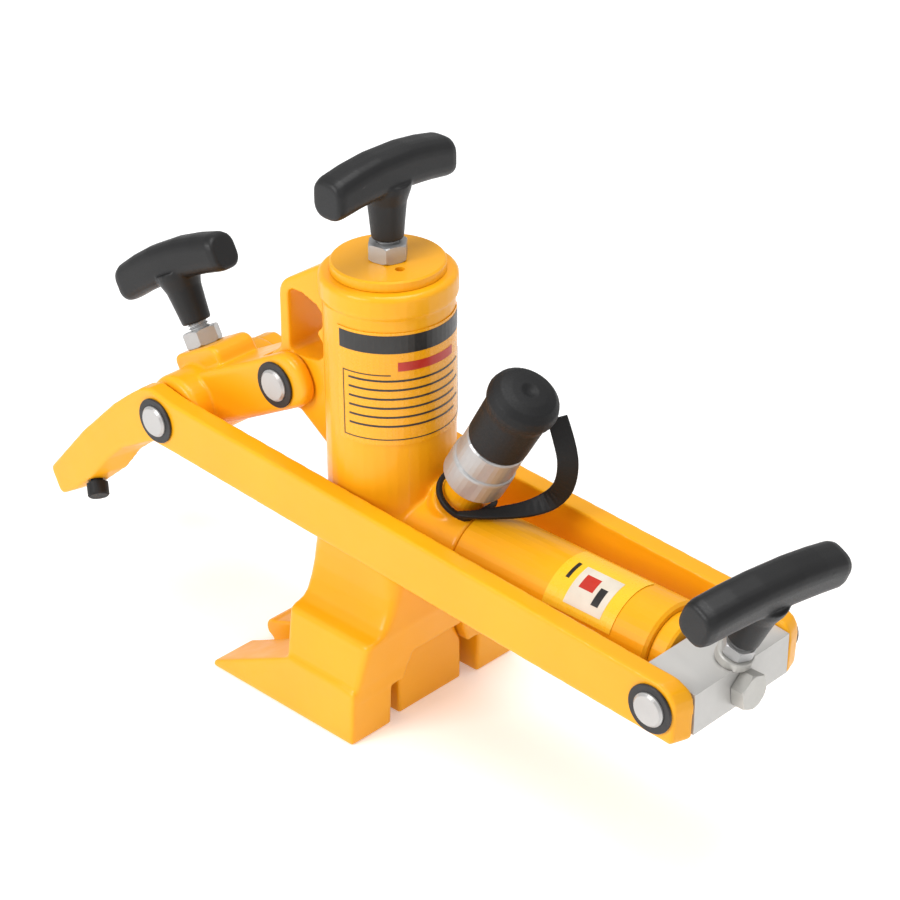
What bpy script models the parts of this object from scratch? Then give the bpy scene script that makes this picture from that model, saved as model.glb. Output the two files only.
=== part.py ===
"""Two-way hydraulic bead breaker: an upright foot ram, a clamp ram along X and a linked pair of claw arms."""

import math

import bmesh
import bpy
from mathutils import Matrix, Vector

MM = 0.001

# Tower, millimetres. The tower axis is X = Y = 0 and the soles stand on Z = 0.
TOWER_R = 34.2
RIM_R = 35.9
RIM_LOW = 238.0
TOWER_TOP = 250.0
FOOT_BORE_R = 25.0
FOOT_BORE_LOW = 112.0
FOOT_ROD_R = 14.0
CAP_R = 29.8
CAP_TOP = 255.7

# Wedge toes and the block over them.
TOE_OUT = 62.8
TOE_IN = 33.3
TOE_TIP_X = -82.0
SOLE_END_X = 29.4
BLOCK_LOW = 26.0

# Ram foot that slides between the toes.
SHOE_HALF = 24.0
SHOE_LOW = 0.0
SHOE_SHOULDER = 25.0
SHOE_TOP = 40.0
SHOE_TOP_HALF = 17.8

# Clamp ram, along X.
RAM_Z = 107.0
BARREL_R = 25.5
BARREL_BORE_R = 18.0
BARREL_START = 66.0
BARREL_END = 194.0
GLAND_END = 203.5
CLAMP_ROD_R = 12.0

# Linkage pins.
PIN_R = 9.0
RING_R = 13.0
PIN_A = (-135.6, 129.6)
PIN_B = (219.0, 109.3)
PIN_C = (-64.5, 168.0)
ARM_IN = 36.4
ARM_OUT = 47.6
ARM_HALF = 15.3
PIN_FACE = 51.2
LUG_HALF = 14.0
EAR_OUT = 22.0

# Crosshead block.
BLOCK_X = (205.6, 235.7)
BLOCK_HALF = 35.9

# Screw handles: nut, stud and grip.
STUD_R = 5.9
NUT_FLATS = 19.0
BOLT_FLATS = 17.4
GRIP_HALF = 41.6
BLOCK_GRIP_HALF = 47.8
BLOCK_TILT = math.radians(21.5)

# Hydraulic coupler.
COUPLER_BASE = (49.4, 0.0, 134.4)
COUPLER_TILT = math.radians(30.8)
SLEEVE_LOW = 19.8
CAP_LOW = 52.4


# ---------------------------------------------------------------- helpers

def material(name, colour, metallic, roughness):
    """One Principled material."""
    made = bpy.data.materials.new(name)
    made.use_nodes = True
    shader = made.node_tree.nodes["Principled BSDF"]
    shader.inputs["Base Color"].default_value = (*colour, 1.0)
    shader.inputs["Metallic"].default_value = metallic
    shader.inputs["Roughness"].default_value = roughness
    return made


LOOKS = {
    "paint": ((0.93, 0.47, 0.02), 0.0, 0.35),
    "steel": ((0.62, 0.63, 0.65), 1.0, 0.25),
    "silver": ((0.72, 0.73, 0.75), 1.0, 0.35),
    "black": ((0.03, 0.03, 0.035), 0.0, 0.45),
    "rubber": ((0.02, 0.02, 0.025), 0.0, 0.6),
    "oxide": ((0.04, 0.04, 0.045), 0.8, 0.4),
    "label": ((0.95, 0.6, 0.05), 0.0, 0.4),
}


def finish(obj, look, angle=35.0):
    """Gives the object its own material and shades its round faces smooth."""
    colour, metallic, roughness = LOOKS[look]
    obj.data.materials.clear()
    obj.data.materials.append(material(obj.name + "_mat", colour, metallic, roughness))
    for face in obj.data.polygons:
        face.use_smooth = True
    obj.data.set_sharp_from_angle(angle=math.radians(angle))
    return obj


def build(name, points, faces, place=Matrix.Identity(4)):
    """A closed mesh object from points in millimetres."""
    bm = bmesh.new()
    corners = [bm.verts.new((place @ Vector(point)) * MM) for point in points]
    for face in faces:
        bm.faces.new([corners[index] for index in face])
    bmesh.ops.recalc_face_normals(bm, faces=bm.faces)
    mesh = bpy.data.meshes.new(name)
    bm.to_mesh(mesh)
    bm.free()
    obj = bpy.data.objects.new(name, mesh)
    bpy.context.scene.collection.objects.link(obj)
    return obj


def loft(name, rings, place=Matrix.Identity(4), loop=False):
    """A skin over rings of equal length, capped at both ends, or closed on itself."""
    size = len(rings[0])
    points = [point for ring in rings for point in ring]
    faces = []
    spans = len(rings) if loop else len(rings) - 1
    for row in range(spans):
        low = row * size
        high = ((row + 1) % len(rings)) * size
        for index in range(size):
            after = (index + 1) % size
            faces.append((low + index, low + after, high + after, high + index))
    if not loop:
        faces.append(tuple(range(size)))
        faces.append(tuple(range((len(rings) - 1) * size, len(rings) * size)))
    return build(name, points, faces, place)


def circle(radius, height, segments, centre=(0.0, 0.0)):
    """A ring of points round Z."""
    ring = []
    for index in range(segments):
        turn = 2.0 * math.pi * index / segments
        ring.append((centre[0] + radius * math.cos(turn), centre[1] + radius * math.sin(turn), height))
    return ring


def turned(name, profile, place=Matrix.Identity(4), segments=32):
    """A solid of revolution round Z from (radius, height) pairs, all radii above zero."""
    return loft(name, [circle(radius, height, segments) for radius, height in profile], place)


def tube(name, profile, place=Matrix.Identity(4), segments=32):
    """A hollow solid of revolution from a closed loop of (radius, height) pairs."""
    return loft(name, [circle(radius, height, segments) for radius, height in profile], place, True)


def prism(name, outline, low, high, place=Matrix.Identity(4)):
    """An outline in the XZ plane, carried along Y from low to high."""
    rings = [[(x, y, z) for x, z in outline] for y in (low, high)]
    return loft(name, rings, place)


def box(name, low, high, place=Matrix.Identity(4)):
    """A box between two corners."""
    outline = [(low[0], low[2]), (high[0], low[2]), (high[0], high[2]), (low[0], high[2])]
    return prism(name, outline, low[1], high[1], place)


def rounded_rectangle(low, high, radii, steps=4):
    """An outline with corner radii in the order low-low, high-low, high-high, low-high."""
    corners = [(low[0], low[1], 180.0), (high[0], low[1], 270.0), (high[0], high[1], 0.0), (low[0], high[1], 90.0)]
    points = []
    for (x, z, start), radius in zip(corners, radii):
        centre_x = x + radius if x == low[0] else x - radius
        centre_z = z + radius if z == low[1] else z - radius
        for step in range(steps + 1):
            turn = math.radians(start + 90.0 * step / steps)
            points.append((centre_x + radius * math.cos(turn), centre_z + radius * math.sin(turn)))
    return points


def arc(centre, radius, start, end, steps):
    """Points on an arc, angles in degrees."""
    points = []
    for step in range(steps + 1):
        turn = math.radians(start + (end - start) * step / steps)
        points.append((centre[0] + radius * math.cos(turn), centre[1] + radius * math.sin(turn)))
    return points


def axes(origin, along, side=(0.0, 1.0, 0.0)):
    """A placement whose Z runs along a direction and whose Y is the given side."""
    z_axis = Vector(along).normalized()
    y_axis = Vector(side).normalized()
    x_axis = y_axis.cross(z_axis).normalized()
    y_axis = z_axis.cross(x_axis)
    turn = Matrix((x_axis, y_axis, z_axis)).transposed().to_4x4()
    return Matrix.Translation(Vector(origin)) @ turn


def across(x, y, z):
    """A placement whose Z runs along the world Y axis."""
    return axes((x, y, z), (0.0, 1.0, 0.0), (-1.0, 0.0, 0.0))


def lengthwise(x, y, z):
    """A placement whose Z runs along the world X axis."""
    return axes((x, y, z), (1.0, 0.0, 0.0))


def helper(obj):
    """Hides a cutting or adding shape from the finished object."""
    obj.hide_render = True
    obj.display_type = "WIRE"
    return obj


def combine(obj, tool, operation):
    """A live Boolean with the exact solver."""
    step = obj.modifiers.new(tool.name, "BOOLEAN")
    step.operation = operation
    step.solver = "EXACT"
    step.object = helper(tool)
    return obj


def cut(obj, *tools):
    """Takes each tool from the object."""
    for tool in tools:
        combine(obj, tool, "DIFFERENCE")
    return obj


def join(obj, *tools):
    """Adds each tool to the object."""
    for tool in tools:
        combine(obj, tool, "UNION")
    return obj


def soften(obj, width, segments=2, angle=40.0):
    """A bevel on the sharp edges."""
    step = obj.modifiers.new("soften", "BEVEL")
    step.width = width * MM
    step.segments = segments
    step.limit_method = "ANGLE"
    step.angle_limit = math.radians(angle)
    return obj


# ---------------------------------------------------------------- tower body

def section(x_low, x_high, half, corner, height):
    """A rounded rectangle of the casting at one height."""
    outline = rounded_rectangle((x_low, -half), (x_high, half), [corner] * 4, 9)
    return [(x, y, height) for x, y in outline]


def tower_shell():
    """The casting from the block over the toes, through the waist, to the rim."""
    rings = [
        section(-22.4, 31.2, 60.9, 3.0, BLOCK_LOW),
        section(-22.8, 31.8, 60.6, 3.0, 34.0),
        section(-24.6, 36.2, 55.8, 3.5, 60.0),
        section(-24.4, 36.6, 54.2, 4.0, 61.8),
        section(-24.6, 36.6, 47.5, 4.0, 63.4),
        section(-25.4, 36.4, 43.2, 4.5, 66.5),
        section(-26.4, 36.2, 39.4, 5.0, 73.0),
        section(-27.4, 36.0, 36.4, 6.0, 81.0),
        section(-28.4, 35.8, 34.9, 8.0, 90.0),
        section(-31.0, 35.0, 34.2, 18.0, 106.0),
        section(-TOWER_R, TOWER_R, TOWER_R, TOWER_R - 0.2, 124.0),
        section(-TOWER_R, TOWER_R, TOWER_R, TOWER_R - 0.2, RIM_LOW - 1.2),
        section(-RIM_R, RIM_R, RIM_R, RIM_R - 0.2, RIM_LOW),
        section(-RIM_R, RIM_R, RIM_R, RIM_R - 0.2, TOWER_TOP - 1.8),
        section(-RIM_R + 1.8, RIM_R - 1.8, RIM_R - 1.8, RIM_R - 2.0, TOWER_TOP),
    ]
    return loft("tower_body", rings)


def toe(side):
    """One wedge toe."""
    outline = [
        (TOE_TIP_X, 0.0), (SOLE_END_X, 0.0), (31.4, 33.4), (20.0, 34.6), (-18.0, 34.6),
        (-26.0, 30.6), (TOE_TIP_X + 1.5, 3.8), (TOE_TIP_X, 2.6),
    ]
    low, high = sorted((side * TOE_IN, side * TOE_OUT))
    name = "toe_front" if side < 0 else "toe_rear"
    return soften(prism(name, outline, low, high), 0.8, 1)


def loop_plate():
    """The carry loop over the lug for the rocker pin, both in one plate."""
    outline = [(-20.0, 134.0), (-36.0, 139.0), (-56.0, 152.6)]
    outline += arc(PIN_C, 17.0, -82.0, -218.0, 9)
    outline += [(-69.6, 186.0), (-69.2, 214.0)]
    outline += arc((-57.2, 217.4), 12.0, 178.0, 120.0, 4)
    outline += [(-34.0, 246.0), (-20.0, 246.0)]
    plate = soften(prism("loop_plate", outline, -LUG_HALF, LUG_HALF), 2.2, 2, 30.0)
    hole = [(-58.5, 186.0), (-48.0, 186.4)]
    hole += arc((-43.6, 195.8), 8.6, -95.0, 62.0, 5)
    hole += arc((-43.6, 212.8), 8.6, -62.0, 90.0, 5)
    hole += [(-50.0, 223.4)]
    hole += arc((-57.4, 219.4), 4.0, 90.0, 180.0, 3)
    hole += arc((-57.6, 189.8), 3.8, 180.0, 250.0, 3)
    return plate, prism("loop_hole", hole, -20.0, 20.0)


def shoe_channel():
    """The clear way for the foot, wide between the toes and shouldered above."""
    gap = 0.7
    half = TOE_IN
    outline = [
        (-half, -5.0), (half, -5.0), (half, BLOCK_LOW - 0.2), (SHOE_HALF + gap, BLOCK_LOW - 0.2),
        (SHOE_HALF + gap, SHOE_SHOULDER + 0.4), (SHOE_TOP_HALF + gap, SHOE_TOP + 1.9),
        (-SHOE_TOP_HALF - gap, SHOE_TOP + 1.9), (-SHOE_HALF - gap, SHOE_SHOULDER + 0.4),
        (-SHOE_HALF - gap, BLOCK_LOW - 0.2), (-half, BLOCK_LOW - 0.2),
    ]
    turn = axes((0.0, 0.0, 0.0), (0.0, 0.0, 1.0), (1.0, 0.0, 0.0))
    return prism("shoe_channel", outline, -90.0, 60.0, turn)


def tower_body():
    """The one casting that everything else hangs on."""
    body = tower_shell()
    plate, hole = loop_plate()
    boss_line = [(BARREL_R, 18.0), (BARREL_R, 64.6), (BARREL_R - 0.8, 65.6)]
    boss = turned("ram_boss", boss_line, lengthwise(0, 0, RAM_Z), 48)
    port = turned("port_boss", [(14.5, -16.0), (14.5, 0.4), (13.6, 1.4)], coupler_place(-3.0), 32)
    join(body, toe(-1), toe(1), plate, boss, port)
    bore = turned("foot_bore", [(FOOT_BORE_R, FOOT_BORE_LOW), (FOOT_BORE_R, TOWER_TOP + 5)], segments=40)
    neck = turned("neck_bore", [(FOOT_ROD_R + 0.3, 30.0), (FOOT_ROD_R + 0.3, FOOT_BORE_LOW + 5)])
    clamp_bore = turned("clamp_bore", [(8.0, 30.0), (8.0, 70.0)], lengthwise(0, 0, RAM_Z), 24)
    feed = turned("feed_bore", [(4.0, -24.0), (4.0, 4.0)], coupler_place(-3.0), 16)
    face = turned("port_face", [(12.6, -1.5), (12.6, 14.0)], coupler_place(0.0), 32)
    pivot = turned("pivot_bore", [(PIN_R + 0.08, -20.0), (PIN_R + 0.08, 20.0)], across(PIN_C[0], 0, PIN_C[1]), 32)
    cut(body, hole, shoe_channel(), bore, neck, clamp_bore, feed, face, pivot)
    return finish(body, "paint", 28.0)


def tower_cap():
    """The screwed end cap, with a hole for a pin spanner."""
    profile = [
        (FOOT_BORE_R - 0.3, 238.0), (FOOT_BORE_R - 0.3, TOWER_TOP + 0.3), (CAP_R, TOWER_TOP + 0.3),
        (CAP_R, CAP_TOP - 0.9), (CAP_R - 0.9, CAP_TOP),
    ]
    cap = turned("tower_cap", profile, segments=48)
    hole = turned("spanner_hole", [(2.6, CAP_TOP - 5.0), (2.6, CAP_TOP + 5.0)], Matrix.Translation((14.3, -5.8, 0)), 16)
    cut(cap, hole, stud_hole("cap_stud_hole", axes((0, 0, CAP_TOP), (0, 0, 1)), 13.0))
    return finish(cap, "paint")


# ---------------------------------------------------------------- screw handles

def stud_hole(name, place, depth):
    """A blind hole for a handle's stud."""
    return turned(name, [(STUD_R + 0.2, -depth), (STUD_R + 0.2, 6.0)], place, 24)


def nut(name, place, thick=9.0, flats=NUT_FLATS, hole=STUD_R + 0.15):
    """A hexagon nut with chamfered corners."""
    corner = flats / math.sqrt(3.0)
    body = turned(name, [(corner, 0.0), (corner, thick)], place, 6)
    crown = [(flats / 2 + 0.2, -0.2), (corner + 0.3, 1.2), (corner + 0.3, thick - 1.2), (flats / 2 + 0.2, thick + 0.2)]
    combine(body, turned(name + "_crown", crown, place, 36), "INTERSECT")
    cut(body, turned(name + "_hole", [(hole, -2.0), (hole, thick + 2.0)], place, 24))
    return finish(body, "steel", 25.0)


def grip(name, place, half):
    """A moulded grip: an arched bar over a tapering hub. Its foot is at height zero and its bar lies along X."""
    stations = [(-1.0, 0.80), (-0.975, 0.93), (-0.9, 1.0), (-0.6, 1.0), (-0.25, 1.0), (0.25, 1.0), (0.6, 1.0),
                (0.9, 1.0), (0.975, 0.93), (1.0, 0.80)]
    rings = []
    for share, size in stations:
        middle = 37.0 - 4.6 * share * share
        tall = 11.6 - 0.9 * share * share
        outline = rounded_rectangle((-10.2 * size, -tall * size), (10.2 * size, tall * size), [7.4 * size] * 4, 4)
        rings.append([(half * share, y, middle + z) for y, z in outline])
    bar = loft(name, rings, place)
    hub = [(7.9, 0.0), (8.4, 0.6), (9.4, 12.0), (10.2, 20.0), (12.5, 27.0), (13.0, 31.0)]
    join(bar, turned(name + "_hub", hub, place, 28))
    cut(bar, turned(name + "_socket", [(STUD_R + 0.2, -4.0), (STUD_R + 0.2, 16.0)], place, 24))
    return finish(bar, "black", 40.0)


def stud(name, place, low, high):
    """A plain-turned stud with chamfered ends."""
    profile = [(STUD_R - 0.9, low), (STUD_R, low + 0.9), (STUD_R, high - 0.9), (STUD_R - 0.9, high)]
    return finish(turned(name, profile, place, 24), "steel")


def handle(prefix, place, depth, lift, turn, half=GRIP_HALF, flats=NUT_FLATS, thick=9.0):
    """The nut, stud and grip of one screw handle, standing on a seat at height zero."""
    nut_place = place @ Matrix.Translation((0, 0, 0.25)) @ Matrix.Rotation(math.radians(11), 4, "Z")
    nut(prefix + "_nut", nut_place, thick, flats)
    stud(prefix + "_stud", place, -depth, lift + 15.0)
    grip(prefix + "_grip", place @ Matrix.Translation((0, 0, lift)) @ Matrix.Rotation(turn, 4, "Z"), half)


# ---------------------------------------------------------------- foot ram

def foot_ram():
    """The shoe between the toes, its rod, piston and seal."""
    side = [
        (-73.0, SHOE_LOW), (26.3, SHOE_LOW), (26.3, SHOE_TOP), (-20.0, SHOE_TOP), (-27.0, 33.0), (-72.0, 15.2),
    ]
    side += arc((-74.2, 9.1), 5.8, 100.0, 258.0, 5)
    shoe = prism("ram_shoe", side, -SHOE_HALF, SHOE_HALF)
    face = [
        (-SHOE_HALF, SHOE_LOW - 1), (SHOE_HALF, SHOE_LOW - 1), (SHOE_HALF, SHOE_SHOULDER),
        (SHOE_TOP_HALF, SHOE_TOP), (-SHOE_TOP_HALF, SHOE_TOP), (-SHOE_HALF, SHOE_SHOULDER),
    ]
    turn = axes((0.0, 0.0, 0.0), (0.0, 0.0, 1.0), (1.0, 0.0, 0.0))
    combine(shoe, prism("shoe_face", face, -90.0, 40.0, turn), "INTERSECT")
    cut(shoe, turned("shoe_socket", [(10.3, 26.0), (10.3, 50.0)], segments=24))
    soften(shoe, 0.8, 1)
    finish(shoe, "paint")
    rod = [(9.2, 26.4), (10.0, 27.2), (10.0, SHOE_TOP + 0.3), (FOOT_ROD_R, SHOE_TOP + 0.3), (FOOT_ROD_R, 213.6)]
    finish(turned("ram_rod", rod), "steel")
    groove = FOOT_BORE_R - 3.4
    body = FOOT_BORE_R - 0.12
    piston = [(body, 214.0), (body, 218.6), (groove, 218.6), (groove, 223.0), (body, 223.0), (body, 231.0), (body - 1, 232.0)]
    finish(turned("ram_piston", piston, segments=40), "steel")
    seal = [(groove + 0.2, 219.0), (FOOT_BORE_R - 0.06, 219.0), (FOOT_BORE_R - 0.06, 222.6), (groove + 0.2, 222.6)]
    finish(tube("ram_seal", seal, segments=40), "rubber")


# ---------------------------------------------------------------- clamp ram and crosshead

def clamp_ram():
    """Barrel, gland, rod, piston and seal of the horizontal ram."""
    place = lengthwise(0, 0, RAM_Z)
    outer = [
        (BARREL_BORE_R, BARREL_START), (BARREL_R - 0.8, BARREL_START), (BARREL_R, BARREL_START + 0.8),
        (BARREL_R, BARREL_END - 1.5), (BARREL_R - 1.5, BARREL_END), (BARREL_BORE_R, BARREL_END),
    ]
    finish(tube("clamp_barrel", outer, place, 48), "paint")
    hole = CLAMP_ROD_R + 0.08
    gland = [
        (hole, 182.0), (BARREL_BORE_R - 0.3, 182.0), (BARREL_BORE_R - 0.3, BARREL_END + 0.3),
        (21.5, BARREL_END + 0.3), (21.5, GLAND_END - 1.2), (20.3, GLAND_END), (hole, GLAND_END),
    ]
    finish(tube("barrel_gland", gland, place, 48), "paint")
    rod = [(CLAMP_ROD_R, 90.4), (CLAMP_ROD_R, 205.2), (8.0, 205.2), (8.0, 215.0), (7.0, 216.0)]
    finish(turned("clamp_rod", rod, place), "steel")
    body = BARREL_BORE_R - 0.12
    groove = BARREL_BORE_R - 3.2
    piston = [(body - 0.8, 70.0), (body, 70.8), (body, 76.0), (groove, 76.0), (groove, 80.0), (body, 80.0), (body, 90.0)]
    finish(turned("clamp_piston", piston, place), "steel")
    seal = [(groove + 0.2, 76.3), (BARREL_BORE_R - 0.06, 76.3), (BARREL_BORE_R - 0.06, 79.7), (groove + 0.2, 79.7)]
    finish(tube("clamp_seal", seal, place), "rubber")


def block_seat(lift=0.0):
    """The tilted seat of the crosshead's screw handle."""
    tilt = (math.sin(BLOCK_TILT), 0.0, math.cos(BLOCK_TILT))
    return axes((229.6 + lift * tilt[0], 0.0, 119.6 + lift * tilt[2]), tilt)


def crosshead():
    """The block on the clamp rod, its end bolt, washer and two stub pins."""
    outline = [(BLOCK_X[0], 93.6), (BLOCK_X[1], 95.8), (BLOCK_X[1], 118.4), (BLOCK_X[0], 122.4)]
    block = prism("crosshead_block", outline, -BLOCK_HALF, BLOCK_HALF)
    rod_hole = turned("rod_hole", [(8.2, 200.0), (8.2, 216.6)], lengthwise(0, 0, RAM_Z), 24)
    bolt_hole = turned("bolt_hole", [(4.2, 225.0), (4.2, 240.0)], lengthwise(0, 0, RAM_Z - 1.4), 20)
    seat = turned("washer_seat", [(10.3, 0.0), (10.3, 20.0)], block_seat(), 32)
    cut(block, rod_hole, bolt_hole, seat, stud_hole("block_stud_hole", block_seat(), 4.0))
    for side in (-1, 1):
        name = "block_pin_hole_front" if side < 0 else "block_pin_hole_rear"
        ends = sorted((side * 20.0, side * 40.0))
        cut(block, turned(name, [(PIN_R + 0.08, end) for end in ends], across(PIN_B[0], 0, PIN_B[1]), 32))
    soften(block, 0.8, 1)
    finish(block, "silver")
    bolt_place = lengthwise(BLOCK_X[1] + 0.3, 0, RAM_Z - 1.4) @ Matrix.Rotation(math.radians(8), 4, "Z")
    corner = BOLT_FLATS / math.sqrt(3.0)
    head = turned("hex_bolt", [(corner, 0.0), (corner, 7.6)], bolt_place, 6)
    crown = [(corner + 0.4, -0.4), (corner + 0.4, 6.4), (BOLT_FLATS / 2 - 0.1, 7.8)]
    combine(head, turned("bolt_crown", crown, bolt_place, 36), "INTERSECT")
    join(head, turned("bolt_shank", [(4.0, -10.0), (4.0, 1.0)], bolt_place, 20))
    finish(head, "steel", 25.0)
    ring = [(STUD_R + 0.4, 0.2), (9.6, 0.2), (9.6, 4.2), (9.0, 4.8), (STUD_R + 0.4, 4.8)]
    finish(tube("block_washer", ring, block_seat()), "steel")


def pin(name, place, low, high):
    """A straight pin with chamfered ends."""
    profile = [(PIN_R - 1.2, low), (PIN_R, low + 1.2), (PIN_R, high - 1.2), (PIN_R - 1.2, high)]
    return finish(turned(name, profile, place, 36), "steel")


def snap_ring(name, place, height):
    """A retaining ring on a pin."""
    low = height
    high = height + 1.5
    ring = [(PIN_R + 0.1, low), (RING_R - 0.3, low), (RING_R, low + 0.3), (RING_R, high - 0.3), (RING_R - 0.3, high), (PIN_R + 0.1, high)]
    return finish(tube(name, ring, place, 36), "oxide")


def link_pins():
    """The pins of the three pivots and their retaining rings."""
    place_a = across(PIN_A[0], 0, PIN_A[1])
    place_b = across(PIN_B[0], 0, PIN_B[1])
    place_c = across(PIN_C[0], 0, PIN_C[1])
    pin("pin_a", place_a, -PIN_FACE, PIN_FACE)
    pin("pin_b_front", place_b, -PIN_FACE, -20.4)
    pin("pin_b_rear", place_b, 20.4, PIN_FACE)
    pin("pin_c", place_c, -EAR_OUT - 3.5, EAR_OUT + 3.5)
    for label, place, face in (("a", place_a, ARM_OUT), ("b", place_b, ARM_OUT), ("c", place_c, EAR_OUT)):
        snap_ring("ring_" + label + "_front", place, -face - 1.7)
        snap_ring("ring_" + label + "_rear", place, face + 0.2)


# ---------------------------------------------------------------- arms

def arm_outlines():
    """The arm and claw in the XZ plane: the outer face's outline, and the inner face's deeper claw."""
    start = Vector(PIN_A)
    end = Vector(PIN_B)
    along = (end - start).normalized()
    over = Vector((-along.y, along.x))
    claw = [(-141.0, 147.4), (-148.6, 144.6), (-161.0, 135.6), (-174.6, 124.8), (-204.6, 96.4), (-237.2, 60.6)]
    outer = [(-237.0, 57.4), (-231.4, 46.4), (-228.4, 45.4), (-215.4, 53.6), (-198.6, 69.0), (-183.6, 86.8),
             (-170.4, 98.6), (-155.0, 106.8), (-141.0, 114.4)]
    inner = [(-237.0, 57.4), (-231.4, 46.4), (-227.6, 45.2), (-219.6, 48.8), (-198.6, 61.6), (-178.6, 78.4),
             (-164.6, 95.6), (-154.6, 103.8), (-141.0, 113.6)]
    pairs = []
    for lower, reach in ((outer, 13.6), (inner, 17.2)):
        tail = end + along * reach
        top = [tail + over * (ARM_HALF - 11.0), tail + over * (ARM_HALF - 6.5) - along * 1.0]
        top += [tail + over * (ARM_HALF - 2.9) - along * 3.7, tail + over * ARM_HALF - along * 11.0]
        top += [end + over * ARM_HALF - along * 60.0, start + over * ARM_HALF + along * 12.0]
        low = [start - over * ARM_HALF + along * 12.0, end - over * ARM_HALF - along * 60.0]
        low += [tail - over * ARM_HALF - along * 1.5, tail - over * (ARM_HALF - 1.5)]
        pairs.append([tuple(point) for point in top] + claw + lower + [tuple(point) for point in low])
    return pairs


def arm(side):
    """One flat arm whose end hooks down into a claw."""
    outer, inner = arm_outlines()
    name = "arm_front" if side < 0 else "arm_rear"
    tag = "front" if side < 0 else "rear"
    rings = [
        [(x, side * ARM_OUT, z) for x, z in outer],
        [(x, side * ARM_IN, z) for x, z in inner],
    ]
    body = loft(name, rings)
    middle = side * (ARM_OUT + ARM_IN) / 2
    wide = [(PIN_R + 1.5, -12.0), (PIN_R + 1.5, 12.0)]
    close = [(PIN_R + 0.08, -12.0), (PIN_R + 0.08, 12.0)]
    hole_a = turned("arm_hole_a_" + tag, wide, across(PIN_A[0], middle, PIN_A[1]), 32)
    hole_b = turned("arm_hole_b_" + tag, close, across(PIN_B[0], middle, PIN_B[1]), 32)
    peg = turned("peg_hole_" + tag, [(3.8, -11.0), (3.8, 12.0)], peg_place(side), 16)
    soften(body, 1.1, 2, 32.0)
    cut(body, hole_a, hole_b, peg)
    finish(body, "paint", 30.0)
    profile = [(3.4, -10.0), (3.4, 1.4), (6.3, 1.4), (6.3, 8.6), (5.5, 9.4)]
    finish(turned("claw_peg_" + tag, profile, peg_place(side), 24), "black")


def peg_place(side):
    """Where a gripping peg stands out of the underside of a claw."""
    return axes((-201.6, side * 42.0, 62.4), (0.60, side * 0.42, -0.68))


# ---------------------------------------------------------------- rocker

def rocker_place():
    """The rocker's own frame: X from the arm pin to the lug pin, Z square to it."""
    along = Vector((PIN_C[0] - PIN_A[0], 0.0, PIN_C[1] - PIN_A[1])).normalized()
    up = Vector((-along.z, 0.0, along.x))
    return axes((PIN_A[0], 0.0, PIN_A[1]), up)


def rocker():
    """The clevis casting between the arms, with the boss for its screw handle."""
    place = rocker_place()
    reach = math.hypot(PIN_C[0] - PIN_A[0], PIN_C[1] - PIN_A[1])
    outline = rounded_rectangle((-4.0, -15.5), (reach + 22.5, 15.5), [4.0, 13.0, 14.0, 6.0], 5)
    body = soften(prism("rocker", outline, -EAR_OUT, EAR_OUT, place), 3.6, 3, 30.0)
    drum = [(16.5, -35.4), (19.2, -34.6), (20.6, -32.0), (20.6, 32.0), (19.2, 34.6), (16.5, 35.4)]
    hub = turned("rocker_drum", drum, place @ Matrix.Rotation(math.radians(-90), 4, "X"), 40)
    seat = rounded_rectangle((-12.5, -4.0), (28.0, 27.6), [2.0, 2.0, 7.0, 4.0], 4)
    boss = soften(prism("rocker_boss", seat, -14.0, 14.0, place), 2.6, 2, 30.0)
    join(body, hub, boss)
    slot = box("rocker_slot", (reach - 1.0, -LUG_HALF - 0.6, -40.0), (reach + 60.0, LUG_HALF + 0.6, 40.0), place)
    lug = Matrix.Translation((reach, 0, 0)) @ Matrix.Rotation(math.radians(-90), 4, "X")
    round_end = turned("rocker_slot_end", [(19.0, -LUG_HALF - 0.6), (19.0, LUG_HALF + 0.6)], place @ lug, 40)
    bore_a = turned("rocker_bore_a", [(PIN_R + 0.08, -50.0), (PIN_R + 0.08, 50.0)], across(PIN_A[0], 0, PIN_A[1]), 32)
    bore_c = turned("rocker_bore_c", [(PIN_R + 0.08, -50.0), (PIN_R + 0.08, 50.0)], across(PIN_C[0], 0, PIN_C[1]), 32)
    cut(body, slot, round_end, bore_a, bore_c, stud_hole("rocker_stud_hole", rocker_seat(), 15.0))
    return finish(body, "paint", 32.0)


def rocker_seat():
    """Where the rocker's screw handle stands."""
    return rocker_place() @ Matrix.Translation((2.0, 0.0, 27.6))


# ---------------------------------------------------------------- coupler

def coupler_place(lift):
    """A place on the coupler's tilted axis."""
    along = (math.sin(COUPLER_TILT), 0.0, math.cos(COUPLER_TILT))
    origin = [base + lift * part for base, part in zip(COUPLER_BASE, along)]
    return axes(origin, along)


def coupler():
    """The hydraulic coupler: painted nipple, steel core and a two-step sleeve that turns."""
    place = coupler_place(0.0)
    nipple = [(4.2, -1.2), (11.2, -1.2), (11.2, 18.4), (10.4, 19.0), (4.2, 19.0)]
    finish(tube("coupler_nipple", nipple, place), "paint")
    core = [(4.2, 19.4), (10.9, 19.4), (10.9, 70.0), (9.4, 72.0), (4.2, 72.0)]
    finish(tube("coupler_core", core, place), "steel")
    sleeve = [
        (11.2, SLEEVE_LOW), (16.4, SLEEVE_LOW), (17.4, SLEEVE_LOW + 1.4), (17.4, SLEEVE_LOW + 14.6),
        (17.0, SLEEVE_LOW + 15.8), (16.3, SLEEVE_LOW + 16.4), (16.3, CAP_LOW - 1.6), (15.6, CAP_LOW - 0.6),
        (11.2, CAP_LOW - 0.6),
    ]
    finish(tube("coupler_sleeve", sleeve, place, 40), "silver")


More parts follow.
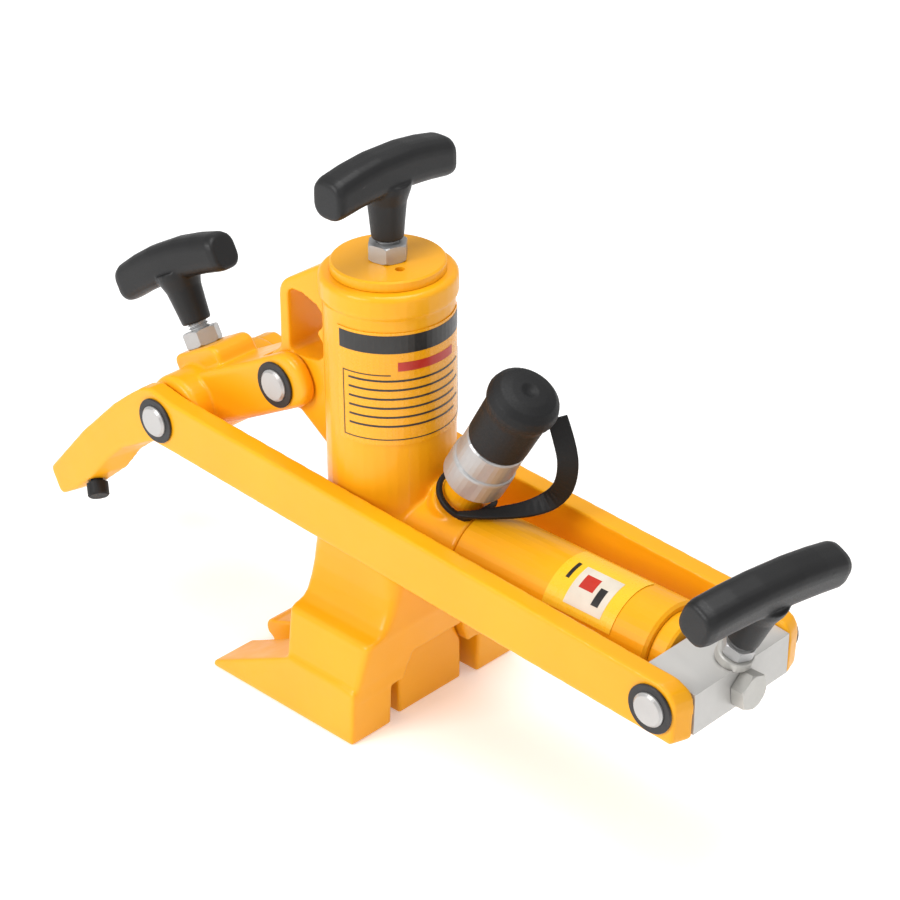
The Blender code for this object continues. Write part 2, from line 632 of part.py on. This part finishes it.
def dust_cap():
    """The rubber cap that pulls off the coupler, a cup with a dimpled crown."""
    profile = [
        (1.4, 40.4), (3.0, 41.0), (4.6, 41.8), (9.8, 41.4), (14.8, 39.8), (17.9, 36.8), (19.1, 33.0), (18.7, 30.0),
        (17.6, 27.4), (16.8, 24.6), (16.4, 1.0), (15.8, 0.0), (12.6, 0.0), (12.6, 26.0), (11.6, 27.2),
    ]
    return finish(turned("dust_cap", profile, coupler_place(CAP_LOW), 36), "rubber", 40.0)


def neck_loop():
    """The loose loop round the nipple, lifted where it would meet the barrel."""
    place = coupler_place(6.0) @ Matrix.Translation((2.2, 0.0, 0.0))
    rings = []
    for step in range(32):
        turn = 2.0 * math.pi * step / 32
        ring = []
        for radius, height in ((13.9, -1.5), (16.8, -1.5), (16.8, 1.5), (13.9, 1.5)):
            point = place @ Vector((radius * math.cos(turn), radius * math.sin(turn), height))
            floor = RAM_Z + math.sqrt((BARREL_R + 0.9) ** 2 - point.y ** 2)
            middle = place @ Vector((15.3 * math.cos(turn), 15.3 * math.sin(turn), 0.0))
            ring.append((point.x, point.y, point.z + max(0.0, floor + 1.6 - middle.z)))
        rings.append(ring)
    return loft("cap_strap", rings, loop=True)


def strap_section(point, travel, half, rise):
    """One flat section of the strap, turned to face up by the rise."""
    facing = Vector((0.70, -0.71, 0.0)).lerp(Vector((0.35, -0.35, 0.87)), rise)
    wide = travel.cross(facing).normalized() * half
    thin = wide.cross(travel).normalized() * 1.2
    return [tuple(point + a * wide + b * thin) for a, b in ((-1, -1), (1, -1), (1, 1), (-1, 1))]


def cap_strap():
    """The strap from the cap's brim down to its loop round the neck."""
    knots = [
        (99.2, 18.4, 193.4, 5.2, 0.0), (103.6, 18.2, 183.4, 5.4, 0.0), (107.0, 18.0, 172.6, 5.4, 0.0),
        (106.4, 18.0, 161.6, 5.4, 0.1), (102.6, 18.0, 152.4, 5.4, 0.3), (95.6, 16.4, 144.2, 5.2, 0.6),
        (87.6, 9.0, 139.6, 4.4, 0.9), (78.0, -1.0, 137.8, 3.4, 1.0), (69.0, -8.6, 136.4, 2.4, 1.0),
        (60.6, -13.4, 135.2, 1.4, 1.0),
    ]
    path = [Vector(knot[:3]) for knot in knots]
    rings = []
    for index in range(len(knots) - 1):
        before = path[max(index - 1, 0)]
        start = path[index]
        end = path[index + 1]
        after = path[min(index + 2, len(knots) - 1)]
        bend = 2 * before - 5 * start + 4 * end - after
        twist = 3 * start - before - 3 * end + after
        for step in range(3):
            t = step / 3.0
            point = 0.5 * (2 * start + (end - before) * t + bend * t * t + twist * t ** 3)
            travel = 0.5 * (end - before + 2 * bend * t + 3 * twist * t * t)
            half, rise = [knots[index][n] + (knots[index + 1][n] - knots[index][n]) * t for n in (3, 4)]
            rings.append(strap_section(point, travel, half, rise))
    rings.append(strap_section(path[-1], path[-1] - path[-2], knots[-1][3], knots[-1][4]))
    return finish(join(neck_loop(), loft("strap_band", rings)), "rubber", 40.0)


# ---------------------------------------------------------------- labels

def curved_sheet(name, radius, start, end, low, high, place, steps=24):
    """A thin curved plate round Z."""
    rings = []
    for step in range(steps + 1):
        turn = math.radians(start + (end - start) * step / steps)
        out = (math.cos(turn), math.sin(turn))
        section = ((radius, low), (radius + 0.4, low), (radius + 0.4, high), (radius, high))
        rings.append([(out[0] * r, out[1] * r, z) for r, z in section])
    return finish(loft(name, rings, place), "label")


def labels():
    """Two plain label plates."""
    curved_sheet("tower_label", TOWER_R + 0.15, -94.0, 46.0, 166.0, 230.0, Matrix.Identity(4), 28)
    curved_sheet("barrel_label", BARREL_R + 0.15, 158.0, 246.0, 128.0, 172.0, lengthwise(0, 0, RAM_Z), 16)


# ---------------------------------------------------------------- assembly

def main():
    """Clears the scene and builds every piece."""
    for obj in list(bpy.data.objects):
        bpy.data.objects.remove(obj)
    tower_body()
    tower_cap()
    handle("cap", axes((0, 0, CAP_TOP), (0, 0, 1)), 12.0, 11.4, math.radians(90))
    foot_ram()
    clamp_ram()
    crosshead()
    handle("block", block_seat(4.8), 8.2, 9.4, math.radians(83), BLOCK_GRIP_HALF, 14.6, 6.4)
    link_pins()
    arm(-1)
    arm(1)
    rocker()
    handle("rocker", rocker_seat(), 14.0, 13.4, math.radians(8))
    coupler()
    dust_cap()
    cap_strap()
    labels()


main()
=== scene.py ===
"""Looks of the bead breaker: castings, moulded grips, threads, labels, materials, light and camera."""

import math

import bmesh
import bpy
from mathutils import Matrix, Vector


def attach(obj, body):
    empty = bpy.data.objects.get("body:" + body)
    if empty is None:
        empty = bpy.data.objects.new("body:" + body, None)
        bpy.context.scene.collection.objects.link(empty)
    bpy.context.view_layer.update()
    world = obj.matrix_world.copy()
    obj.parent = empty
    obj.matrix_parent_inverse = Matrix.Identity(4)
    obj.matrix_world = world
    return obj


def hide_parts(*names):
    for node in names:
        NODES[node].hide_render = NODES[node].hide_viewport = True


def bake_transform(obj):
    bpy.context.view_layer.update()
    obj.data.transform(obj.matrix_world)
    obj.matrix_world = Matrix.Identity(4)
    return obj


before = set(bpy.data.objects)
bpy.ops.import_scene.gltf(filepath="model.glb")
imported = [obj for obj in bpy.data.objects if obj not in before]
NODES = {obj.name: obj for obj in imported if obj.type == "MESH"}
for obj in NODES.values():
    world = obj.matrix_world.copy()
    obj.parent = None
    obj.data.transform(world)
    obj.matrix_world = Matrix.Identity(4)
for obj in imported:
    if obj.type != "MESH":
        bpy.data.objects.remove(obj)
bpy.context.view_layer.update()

MM = 0.001

# The outer faces of the two label plates, and the height of the clamp ram's axis.
TOWER_LABEL_R = 34.75 * MM
BARREL_LABEL_R = 26.05 * MM
RAM_Z = 107.0 * MM

# How far the print stands off a label, and how far a shape stands off the panel under it.
PRINT_LIFT = 0.04 * MM
SHAPE_LIFT = 0.08 * MM
PRINT_THICK = 0.08 * MM

# A stud's end corners lie within this of each other.
END_REACH = 13.5 * MM

# Screw thread of the handle studs, millimetres.
THREAD_CREST = 5.85
THREAD_ROOT = 5.0
THREAD_PITCH = 1.75

# Studio: the middle of what the lamps point at, and the floor's half width.
LAMP_AIM = (0.0, 0.0, 0.12)
FLOOR_HALF = 6.0

# Camera: where it stands, which way it looks and how long its lens is.
CAMERA_AT = Vector((0.84058, -0.82206, 0.80964))
CAMERA_YAW = math.radians(45.85)
CAMERA_PITCH = math.radians(29.54)
CAMERA_ROLL = math.radians(-0.44)
CAMERA_LENS = 102.72

# Base colours, linear.
PAINT = (0.88, 0.405, 0.006)
PAINT_DEEP = (0.84, 0.350, 0.003)
LEMON = (0.89, 0.53, 0.022)
STEEL = (0.52, 0.51, 0.48)
ZINC = (0.46, 0.46, 0.46)
PIN_END = (0.50, 0.49, 0.48)
ALUMINIUM = (0.56, 0.55, 0.53)
OXIDE = (0.018, 0.017, 0.018)
GRIP = (0.009, 0.009, 0.0095)
RUBBER = (0.006, 0.006, 0.0065)
INK = (0.012, 0.011, 0.010)
RED = (0.55, 0.03, 0.012)
WHITE = (0.72, 0.66, 0.56)


# ---------------------------------------------------------------- materials

def nodes_of(material):
    """The node tree and its Principled shader."""
    tree = material.node_tree
    return tree, tree.nodes["Principled BSDF"]


def noise(tree, scale, detail, stretch=(1.0, 1.0, 1.0)):
    """A noise texture over the row's own coordinates, optionally stretched."""
    where = tree.nodes.new("ShaderNodeTexCoord")
    mapping = tree.nodes.new("ShaderNodeMapping")
    mapping.inputs["Scale"].default_value = stretch
    texture = tree.nodes.new("ShaderNodeTexNoise")
    texture.inputs["Scale"].default_value = scale
    texture.inputs["Detail"].default_value = detail
    tree.links.new(where.outputs["Object"], mapping.inputs["Vector"])
    tree.links.new(mapping.outputs["Vector"], texture.inputs["Vector"])
    return texture


def blend_colour(tree, texture, low, high, sharp=0.25):
    """A colour that wanders between two, led by a noise."""
    ramp = tree.nodes.new("ShaderNodeValToRGB")
    ramp.color_ramp.elements[0].position = 0.5 - sharp
    ramp.color_ramp.elements[1].position = 0.5 + sharp
    ramp.color_ramp.elements[0].color = (*low, 1.0)
    ramp.color_ramp.elements[1].color = (*high, 1.0)
    tree.links.new(texture.outputs["Fac"], ramp.inputs["Fac"])
    return ramp.outputs["Color"]


def blend_value(tree, texture, low, high):
    """A value that wanders between two, led by a noise."""
    spread = tree.nodes.new("ShaderNodeMapRange")
    spread.inputs["From Min"].default_value = 0.3
    spread.inputs["From Max"].default_value = 0.7
    spread.inputs["To Min"].default_value = low
    spread.inputs["To Max"].default_value = high
    tree.links.new(texture.outputs["Fac"], spread.inputs["Value"])
    return spread.outputs["Result"]


def bump(tree, shader, layers):
    """Stacked bumps from (texture, height) pairs, heights in metres."""
    normal = None
    for texture, height in layers:
        step = tree.nodes.new("ShaderNodeBump")
        step.inputs["Strength"].default_value = 1.0
        step.inputs["Distance"].default_value = height
        tree.links.new(texture.outputs["Fac"], step.inputs["Height"])
        if normal is not None:
            tree.links.new(normal, step.inputs["Normal"])
        normal = step.outputs["Normal"]
    tree.links.new(normal, shader.inputs["Normal"])


def surface(
        name, low, high, rough, metallic=0.0, patch=9.0, grain=900.0, relief=0.00002,
        stretch=(1, 1, 1), **sockets):
    """A finish whose colour and roughness wander, with a fine grain. Sockets are the shader's constants."""
    material = bpy.data.materials.new(name)
    material.use_nodes = True
    tree, shader = nodes_of(material)
    broad = noise(tree, patch, 3.0)
    fine = noise(tree, grain, 2.0, stretch)
    tree.links.new(blend_colour(tree, broad, low, high), shader.inputs["Base Color"])
    tree.links.new(blend_value(tree, fine, rough[0], rough[1]), shader.inputs["Roughness"])
    shader.inputs["Metallic"].default_value = metallic
    for socket, value in sockets.items():
        shader.inputs[socket.replace("_", " ")].default_value = value
    bump(tree, shader, [(fine, relief)])
    return material


def paint(name, relief):
    """Gloss enamel over a casting: orange peel, a faint cast texture and a clear top."""
    material = bpy.data.materials.new(name)
    material.use_nodes = True
    tree, shader = nodes_of(material)
    broad = noise(tree, 14.0, 4.0)
    peel = noise(tree, 420.0, 2.0)
    cast = noise(tree, 95.0, 3.0)
    tree.links.new(blend_colour(tree, broad, PAINT_DEEP, PAINT, 0.3), shader.inputs["Base Color"])
    tree.links.new(blend_value(tree, cast, 0.30, 0.42), shader.inputs["Roughness"])
    shader.inputs["Coat Weight"].default_value = 0.14
    shader.inputs["Coat Roughness"].default_value = 0.12
    shader.inputs["Specular IOR Level"].default_value = 0.3
    bump(tree, shader, [(cast, relief), (peel, 0.000018)])
    return material


LOOKS = {
    "cast paint": paint("cast_paint", 0.00016),
    "plate paint": paint("plate_paint", 0.00005),
    "machined steel": surface(
        "machined_steel", (0.46, 0.45, 0.42), STEEL, (0.34, 0.46), 0.45, 40.0, 700.0, 0.00001),
    "zinc": surface("zinc_plate", (0.41, 0.41, 0.41), ZINC, (0.30, 0.42), 0.55, 60.0, 500.0, 0.000006),
    "pin": surface("pin_steel", (0.44, 0.43, 0.42), PIN_END, (0.28, 0.40), 0.5, 50.0, 800.0, 0.000006),
    "aluminium": surface(
        "milled_aluminium", (0.52, 0.51, 0.49), ALUMINIUM, (0.38, 0.50), 0.35, 24.0, 260.0, 0.00001,
        (0.15, 1.0, 1.0)),
    "oxide": surface("black_oxide", OXIDE, (0.03, 0.029, 0.03), (0.34, 0.5), 0.3, 60.0, 900.0, 0.00001),
    "grip": surface(
        "moulded_grip", GRIP, (0.014, 0.014, 0.0145), (0.38, 0.50), 0.0, 30.0, 1500.0, 0.00003,
        Specular_IOR_Level=0.32),
    "rubber": surface(
        "cap_rubber", RUBBER, (0.011, 0.011, 0.0115), (0.50, 0.64), 0.0, 30.0, 1100.0, 0.00003,
        Specular_IOR_Level=0.3),
    "film": surface("label_film", PAINT_DEEP, PAINT, (0.22, 0.32), 0.0, 20.0, 300.0, 0.00001),
    "lemon": surface("lemon_film", (0.88, 0.48, 0.016), LEMON, (0.24, 0.34), 0.0, 30.0, 300.0, 0.00001),
    "ink": surface("label_ink", INK, (0.02, 0.018, 0.016), (0.30, 0.42), 0.0, 80.0, 500.0, 0.000005),
    "red": surface("label_red", (0.42, 0.02, 0.01), RED, (0.30, 0.42), 0.0, 80.0, 500.0, 0.000005),
    "white": surface("label_white", (0.60, 0.52, 0.42), WHITE, (0.30, 0.42), 0.0, 60.0, 500.0, 0.000005),
}

NODE_LOOKS = {
    "plate paint": ["tower_cap", "clamp_barrel", "barrel_gland", "coupler_nipple"],
    "machined steel": ["ram_rod", "ram_piston", "clamp_rod", "clamp_piston", "hex_bolt", "block_washer"],
    "zinc": ["cap_nut", "block_nut", "rocker_nut", "coupler_sleeve", "coupler_core"],
    "pin": ["pin_a", "pin_b_front", "pin_b_rear", "pin_c"],
    "aluminium": ["crosshead_block"],
    "oxide": ["ring_a_front", "ring_a_rear", "ring_b_front", "ring_b_rear", "ring_c_front", "ring_c_rear"],
    "rubber": ["ram_seal", "clamp_seal", "claw_peg_front", "claw_peg_rear"],
    "film": ["tower_label"],
    "lemon": ["barrel_label"],
}


def dress(obj, look):
    """Puts a finish in every material slot of an object."""
    if not obj.material_slots:
        obj.data.materials.append(LOOKS[look])
    for slot in obj.material_slots:
        slot.material = LOOKS[look]


# ---------------------------------------------------------------- pieces from the CAD's own solids

def link(name, mesh):
    """An object in the scene."""
    obj = bpy.data.objects.new(name, mesh)
    bpy.context.scene.collection.objects.link(obj)
    return obj


def welded(node):
    """A copy of a CAD node's mesh with its split corners joined."""
    bm = bmesh.new()
    bm.from_mesh(NODES[node].data)
    bmesh.ops.remove_doubles(bm, verts=bm.verts, dist=0.000002)
    mesh = bpy.data.meshes.new(node + "_mesh")
    bm.to_mesh(mesh)
    bm.free()
    return mesh


def settle(piece):
    """Applies every modifier and shades the result smooth."""
    graph = bpy.context.evaluated_depsgraph_get()
    mesh = bpy.data.meshes.new_from_object(piece.evaluated_get(graph))
    piece.modifiers.clear()
    piece.data = mesh
    for face in mesh.polygons:
        face.use_smooth = True
    return piece


def rounded(node, body, voxel, passes, look, keep=0.5):
    """A CAD solid with every edge rounded and every corner filled, as a casting or a moulding has them."""
    piece = link(node + "_rounded", welded(node))
    remesh = piece.modifiers.new("remesh", "REMESH")
    remesh.mode = "VOXEL"
    remesh.voxel_size = voxel * MM
    relax = piece.modifiers.new("relax", "SMOOTH")
    relax.factor = 0.5
    relax.iterations = passes
    thin = piece.modifiers.new("thin", "DECIMATE")
    thin.ratio = keep
    settle(piece)
    piece.data.materials.clear()
    dress(piece, look)
    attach(piece, body)
    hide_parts(node)
    return piece


# ---------------------------------------------------------------- new pieces

def mesh_from(name, points, faces):
    """A mesh object from points in metres."""
    bm = bmesh.new()
    corners = [bm.verts.new(point) for point in points]
    for face in faces:
        bm.faces.new([corners[index] for index in face])
    bmesh.ops.recalc_face_normals(bm, faces=bm.faces)
    mesh = bpy.data.meshes.new(name)
    bm.to_mesh(mesh)
    bm.free()
    return link(name, mesh)


def skin(rings, start=0):
    """Faces over equal rings, capped at both ends."""
    size = len(rings[0])
    faces = []
    for row in range(len(rings) - 1):
        low = start + row * size
        for index in range(size):
            after = (index + 1) % size
            faces.append((low + index, low + after, low + size + after, low + size + index))
    last = start + (len(rings) - 1) * size
    faces.append(tuple(range(start, start + size)))
    faces.append(tuple(range(last, last + size)))
    return faces


def stud_frame(node):
    """The axis of a stud, from its own mesh: its lowest end, its direction and its length."""
    points = [vertex.co for vertex in NODES[node].data.vertices]
    centre = sum(points, Vector()) / len(points)
    far = max(points, key=lambda point: (point - centre).length)
    middles = []
    for corner in (far, 2 * centre - far):
        end = [point for point in points if (point - corner).length < END_REACH]
        middles.append(sum(end, Vector()) / len(end))
    middles.sort(key=lambda point: point.z)
    return middles[0], (middles[1] - middles[0]).normalized(), (middles[1] - middles[0]).length


def threaded_stud(node, body, crest=THREAD_CREST, root=THREAD_ROOT, pitch=THREAD_PITCH):
    """A stud with a real helical thread in place of the plain one."""
    low, along, length = stud_frame(node)
    place = Matrix.Translation(low) @ along.to_track_quat("Z", "Y").to_matrix().to_4x4()
    around = 24
    tall = length / MM
    core = []
    for height, radius in ((0.0, root - 0.6), (0.6, root), (tall - 0.6, root), (tall, root - 0.6)):
        turn = [2.0 * math.pi * index / around for index in range(around)]
        core.append([(radius * math.cos(t), radius * math.sin(t), height) for t in turn])
    ridge = []
    steps = int((tall - 2.0 * pitch) / pitch * around)
    for step in range(steps + 1):
        turn = 2.0 * math.pi * step / around
        height = pitch + pitch * step / around
        tip = root + (crest - root) * min(1.0, step / 12.0, (steps - step) / 12.0)
        foot = root - 0.3
        section = ((foot, -0.42 * pitch), (tip, -0.07 * pitch), (tip, 0.07 * pitch), (foot, 0.42 * pitch))
        ridge.append([(r * math.cos(turn), r * math.sin(turn), height + z) for r, z in section])
    points = [place @ (Vector(point) * MM) for ring in core + ridge for point in ring]
    faces = skin(core) + skin(ridge, len(core) * around)
    piece = mesh_from(node + "_threaded", points, faces)
    dress(piece, "zinc")
    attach(piece, body)
    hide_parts(node)
    return piece


def curved_patch(name, look, radius, turns, span, place, body="frame", thick=PRINT_THICK, steps=24):
    """A thin printed patch on a round surface: turns in degrees round the axis, span in metres along it."""
    rings = []
    for step in range(steps + 1):
        turn = math.radians(turns[0] + (turns[1] - turns[0]) * step / steps)
        across = Vector((math.cos(turn), math.sin(turn), 0.0))
        section = ((radius, span[0]), (radius + thick, span[0]), (radius + thick, span[1]), (radius, span[1]))
        rings.append([place @ (across * r + Vector((0.0, 0.0, z))) for r, z in section])
    piece = mesh_from(name, [point for ring in rings for point in ring], skin(rings))
    dress(piece, look)
    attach(piece, body)
    return piece


def tower_print():
    """Plain bars that stand in for the tower label's print."""
    stand = Matrix.Identity(4)
    layer = TOWER_LABEL_R + PRINT_LIFT
    curved_patch("print_band", "ink", layer, (-91.0, 44.0), (0.2185, 0.2285), stand)
    curved_patch("print_dash", "red", layer, (-38.0, 20.0), (0.2085, 0.2135), stand)
    for row in range(6):
        height = 0.2025 - 0.0052 * row
        turns = (-82.0, 32.0 - 9.0 * (row % 2))
        curved_patch(f"print_line_{row + 1}", "ink", layer, turns, (height, height + 0.0011), stand)
    for index, height in enumerate((0.1690, 0.2060)):
        spans = ((-88.0, 41.0), (-88.0, -44.0))[index]
        curved_patch(f"print_rule_{index + 1}", "ink", layer, spans, (height, height + 0.0006), stand)
    for index, turn in enumerate((-88.0, 40.4)):
        turns = (turn, turn + 0.9)
        curved_patch(f"print_side_{index + 1}", "ink", layer, turns, (0.1696, 0.2060), stand, steps=2)


def barrel_print():
    """A plain picture panel on the barrel label."""
    lengthwise = Matrix(((0, 0, 1, 0), (0, 1, 0, 0), (-1, 0, 0, 0), (0, 0, 0, 1)))
    along = Matrix.Translation((0.0, 0.0, RAM_Z)) @ lengthwise
    layer = BARREL_LABEL_R + PRINT_LIFT
    curved_patch("panel_white", "white", layer, (186.0, 236.0), (0.1400, 0.1640), along)
    curved_patch("panel_shape_1", "red", layer + SHAPE_LIFT, (196.0, 214.0), (0.1440, 0.1530), along)
    curved_patch("panel_shape_2", "ink", layer + SHAPE_LIFT, (204.0, 226.0), (0.1555, 0.1600), along)
    curved_patch("panel_mark", "ink", layer, (186.0, 210.0), (0.1340, 0.1362), along)


def rubber_strap():
    """The strap and its loop in rubber, remeshed and smoothed."""
    piece = link("strap_rubber", welded("cap_strap"))
    remesh = piece.modifiers.new("remesh", "REMESH")
    remesh.mode = "VOXEL"
    remesh.voxel_size = 0.5 * MM
    relax = piece.modifiers.new("relax", "SMOOTH")
    relax.factor = 0.5
    relax.iterations = 5
    settle(piece)
    piece.data.materials.clear()
    dress(piece, "rubber")
    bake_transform(piece)
    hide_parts("cap_strap")
    return piece


# ---------------------------------------------------------------- stage, light and camera

def floor():
    """A plain pale floor."""
    corners = [(x * FLOOR_HALF, y * FLOOR_HALF, 0) for x, y in ((-1, -1), (1, -1), (1, 1), (-1, 1))]
    obj = mesh_from("floor", corners, [(0, 1, 2, 3)])
    material = bpy.data.materials.new("floor_white")
    material.use_nodes = True
    shader = nodes_of(material)[1]
    shader.inputs["Base Color"].default_value = (0.96, 0.96, 0.96, 1.0)
    shader.inputs["Roughness"].default_value = 0.7
    shader.inputs["Specular IOR Level"].default_value = 0.2
    shader.inputs["Emission Color"].default_value = (1.0, 1.0, 1.0, 1.0)
    shader.inputs["Emission Strength"].default_value = 0.22
    obj.data.materials.append(material)


def lamp(name, place, target, size, watts):
    """A soft square lamp."""
    light = bpy.data.lights.new(name, "AREA")
    light.size = size
    light.energy = watts
    obj = bpy.data.objects.new(name, light)
    obj.location = place
    obj.rotation_euler = (Vector(target) - Vector(place)).to_track_quat("-Z", "Y").to_euler()
    bpy.context.scene.collection.objects.link(obj)


def lights():
    """An even white surround with a key from the front left and a top light."""
    world = bpy.data.worlds.new("studio")
    world.use_nodes = True
    world.node_tree.nodes["Background"].inputs["Color"].default_value = (1.0, 1.0, 1.0, 1.0)
    world.node_tree.nodes["Background"].inputs["Strength"].default_value = 0.54
    bpy.context.scene.world = world
    lamp("key", (-0.35, -1.7, 1.15), LAMP_AIM, 0.9, 23.0)
    lamp("top", (0.2, 0.1, 1.9), LAMP_AIM, 1.1, 21.0)
    lamp("fill", (1.7, -0.5, 0.9), LAMP_AIM, 1.0, 2.0)


def camera():
    """The camera at the reference view."""
    flat = math.cos(CAMERA_PITCH)
    forward = Vector((-math.cos(CAMERA_YAW) * flat, math.sin(CAMERA_YAW) * flat, -math.sin(CAMERA_PITCH)))
    side = Vector((math.sin(CAMERA_YAW), math.cos(CAMERA_YAW), 0.0))
    up = side.cross(forward)
    c = math.cos(CAMERA_ROLL)
    s = math.sin(CAMERA_ROLL)
    turn = Matrix((c * side + s * up, c * up - s * side, -forward)).transposed().to_4x4()
    data = bpy.data.cameras.new("camera")
    data.sensor_width = 36.0
    data.lens = CAMERA_LENS
    data.clip_start = 0.05
    obj = bpy.data.objects.new("camera", data)
    obj.matrix_world = Matrix.Translation(CAMERA_AT) @ turn
    bpy.context.scene.collection.objects.link(obj)
    bpy.context.scene.camera = obj


# ---------------------------------------------------------------- assembly

for look, names in NODE_LOOKS.items():
    for name in names:
        dress(NODES[name], look)

rounded("tower_body", "frame", 1.0, 6, "cast paint")
rounded("rocker", "rocker_link", 0.8, 8, "cast paint")
rounded("ram_shoe", "foot", 0.8, 4, "cast paint")
rounded("arm_front", "arms", 0.9, 3, "plate paint")
rounded("arm_rear", "arms", 0.9, 3, "plate paint")
rounded("cap_grip", "cap_handle", 0.7, 6, "grip")
rounded("block_grip", "block_handle", 0.7, 6, "grip")
rounded("rocker_grip", "rocker_handle", 0.7, 6, "grip")
rounded("dust_cap", "dust_cover", 0.5, 4, "rubber")
threaded_stud("cap_stud", "cap_handle")
threaded_stud("block_stud", "block_handle")
threaded_stud("rocker_stud", "rocker_handle")
rubber_strap()
tower_print()
barrel_print()
floor()
lights()
camera()
bpy.context.scene.view_settings.view_transform = "Standard"
